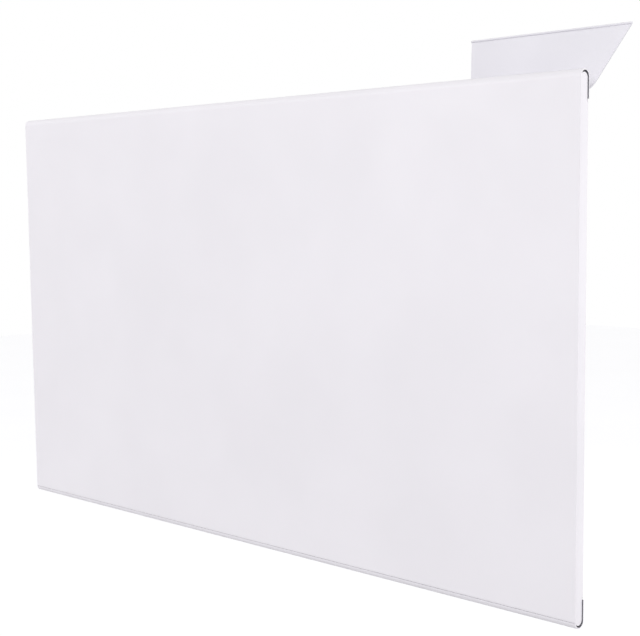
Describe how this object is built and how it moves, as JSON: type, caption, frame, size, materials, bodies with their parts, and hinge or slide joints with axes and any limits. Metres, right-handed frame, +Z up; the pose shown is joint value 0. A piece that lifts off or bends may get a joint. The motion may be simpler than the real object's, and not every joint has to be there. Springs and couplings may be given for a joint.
{
  "type": "panel convector heater",
  "caption": "Wall-hung panel convector heater: flat white steel front, slotted casing behind, top control deck under a hinged flap, and a recessed rocker switch in the slanted end.",
  "frame": {"origin": "centre of the wall bracket's four screw slots, on the wall plane", "axes": "+Y into the wall, +X to the viewer's right along the panel, +Z up"},
  "size_m": [0.706, 0.073, 0.4368],
  "materials": {
    "panel_white": "satin powder coat",
    "casing_white": "satin powder coat",
    "flap_white": "satin powder coat",
    "bracket_white": "satin powder coat",
    "fascia_grey": "satin silver grey",
    "smoked_lens": "smoked window",
    "display_black": "matt",
    "light_pipe": "clear, lit blue",
    "button_white": "satin",
    "board_green": "solder mask",
    "part_black": "matt",
    "terminal_brass": "plain",
    "switch_white": "gloss",
    "paddle_cream": "gloss",
    "pocket_white": "fine texture",
    "element_aluminium": "extruded",
    "core_steel": "heat tinted",
    "ceramic": "unglazed ceramic",
    "shield_aluminium": "bright",
    "relay_blue": "gloss",
    "transformer_yellow": "taped",
    "terminal_block_green": "matt",
    "gland_black": "matt",
    "rubber": "matt",
    "screw_steel": "zinc plated",
    "zinc_steel": "zinc plated"
  },
  "bodies": {
    "heater": {"baffle_plate": "zinc_steel", "board_posts": "zinc_steel", "board_screws": "zinc_steel", "bracket_crossbar_bottom": "bracket_white", "bracket_crossbar_top": "bracket_white", "bracket_rivets": "zinc_steel", "bracket_upright_left": "bracket_white", "bracket_upright_right": "bracket_white", "cable_gland": "gland_black", "capacitor": "part_black", "casing_end_left": "casing_white", "casing_end_right": "casing_white", "casing_screws": "screw_steel", "control_board": "board_green", "control_box": "casing_white", "control_fascia": "fascia_grey", "cutout_bracket": "zinc_steel", "display_lens": "smoked_lens", "display_module": "display_black", "element_bracket_left": "zinc_steel", "element_bracket_right": "zinc_steel", "element_core": "core_steel", "element_insulators": "ceramic", "foot_screws": "zinc_steel", "front_panel": "panel_white", "gland_nut": "gland_black", "grille_bottom": "casing_white", "grille_top": "casing_white", "heat_shield": "shield_aluminium", "heating_element": "element_aluminium", "hinge_bracket_far": "zinc_steel", "hinge_bracket_near": "zinc_steel", "hinge_pins": "zinc_steel", "hinge_tray": "zinc_steel", "indicator_leds": "light_pipe", "led_light_pipes": "light_pipe", "power_board": "board_green", "power_standoffs": "zinc_steel", "rear_casing": "casing_white", "relay": "relay_blue", "rocker_housing": "switch_white", "rocker_terminals": "terminal_brass", "room_sensor": "part_black", "rubber_buffers": "rubber", "sensor_clip": "zinc_steel", "switch_pocket": "pocket_white", "tact_switches": "part_black", "terminal_block": "terminal_block_green", "thermal_cutout": "part_black", "transformer": "transformer_yellow", "tray_rivets": "zinc_steel"},
    "flap": {"flap_lid": "flap_white"},
    "rocker": {"rocker_paddle": "paddle_cream"},
    "key_timer": {"button_timer": "button_white"},
    "key_minus": {"button_minus": "button_white"},
    "key_plus": {"button_plus": "button_white"},
    "key_lock": {"button_lock": "button_white"},
    "key_mode": {"button_mode": "button_white"},
    "key_power": {"button_power": "button_white"}
  },
  "joints": [
    {"name": "flap_hinge", "type": "hinge", "parent": "heater", "child": "flap", "pos_m": [0.257, -0.016, 0.1915], "axis": [1, 0, 0], "range_deg": [0, 92]},
    {"name": "rocker_pivot", "type": "hinge", "parent": "heater", "child": "rocker", "pos_m": [0.32285, -0.0395, 0.1393], "axis": [0, 1, 0], "range_deg": [0, 18]},
    {"name": "press_timer", "type": "slide", "parent": "heater", "child": "key_timer", "axis": [0, 0, -1], "range_m": [0, 0.0005], "stiffness_N_per_m": 200, "springref_m": -0.002},
    {"name": "press_minus", "type": "slide", "parent": "heater", "child": "key_minus", "axis": [0, 0, -1], "range_m": [0, 0.0005], "stiffness_N_per_m": 200, "springref_m": -0.002},
    {"name": "press_plus", "type": "slide", "parent": "heater", "child": "key_plus", "axis": [0, 0, -1], "range_m": [0, 0.0005], "stiffness_N_per_m": 200, "springref_m": -0.002},
    {"name": "press_lock", "type": "slide", "parent": "heater", "child": "key_lock", "axis": [0, 0, -1], "range_m": [0, 0.0005], "stiffness_N_per_m": 200, "springref_m": -0.002},
    {"name": "press_mode", "type": "slide", "parent": "heater", "child": "key_mode", "axis": [0, 0, -1], "range_m": [0, 0.0005], "stiffness_N_per_m": 200, "springref_m": -0.002},
    {"name": "press_power", "type": "slide", "parent": "heater", "child": "key_power", "axis": [0, 0, -1], "range_m": [0, 0.0005], "stiffness_N_per_m": 200, "springref_m": -0.002}
  ]
}
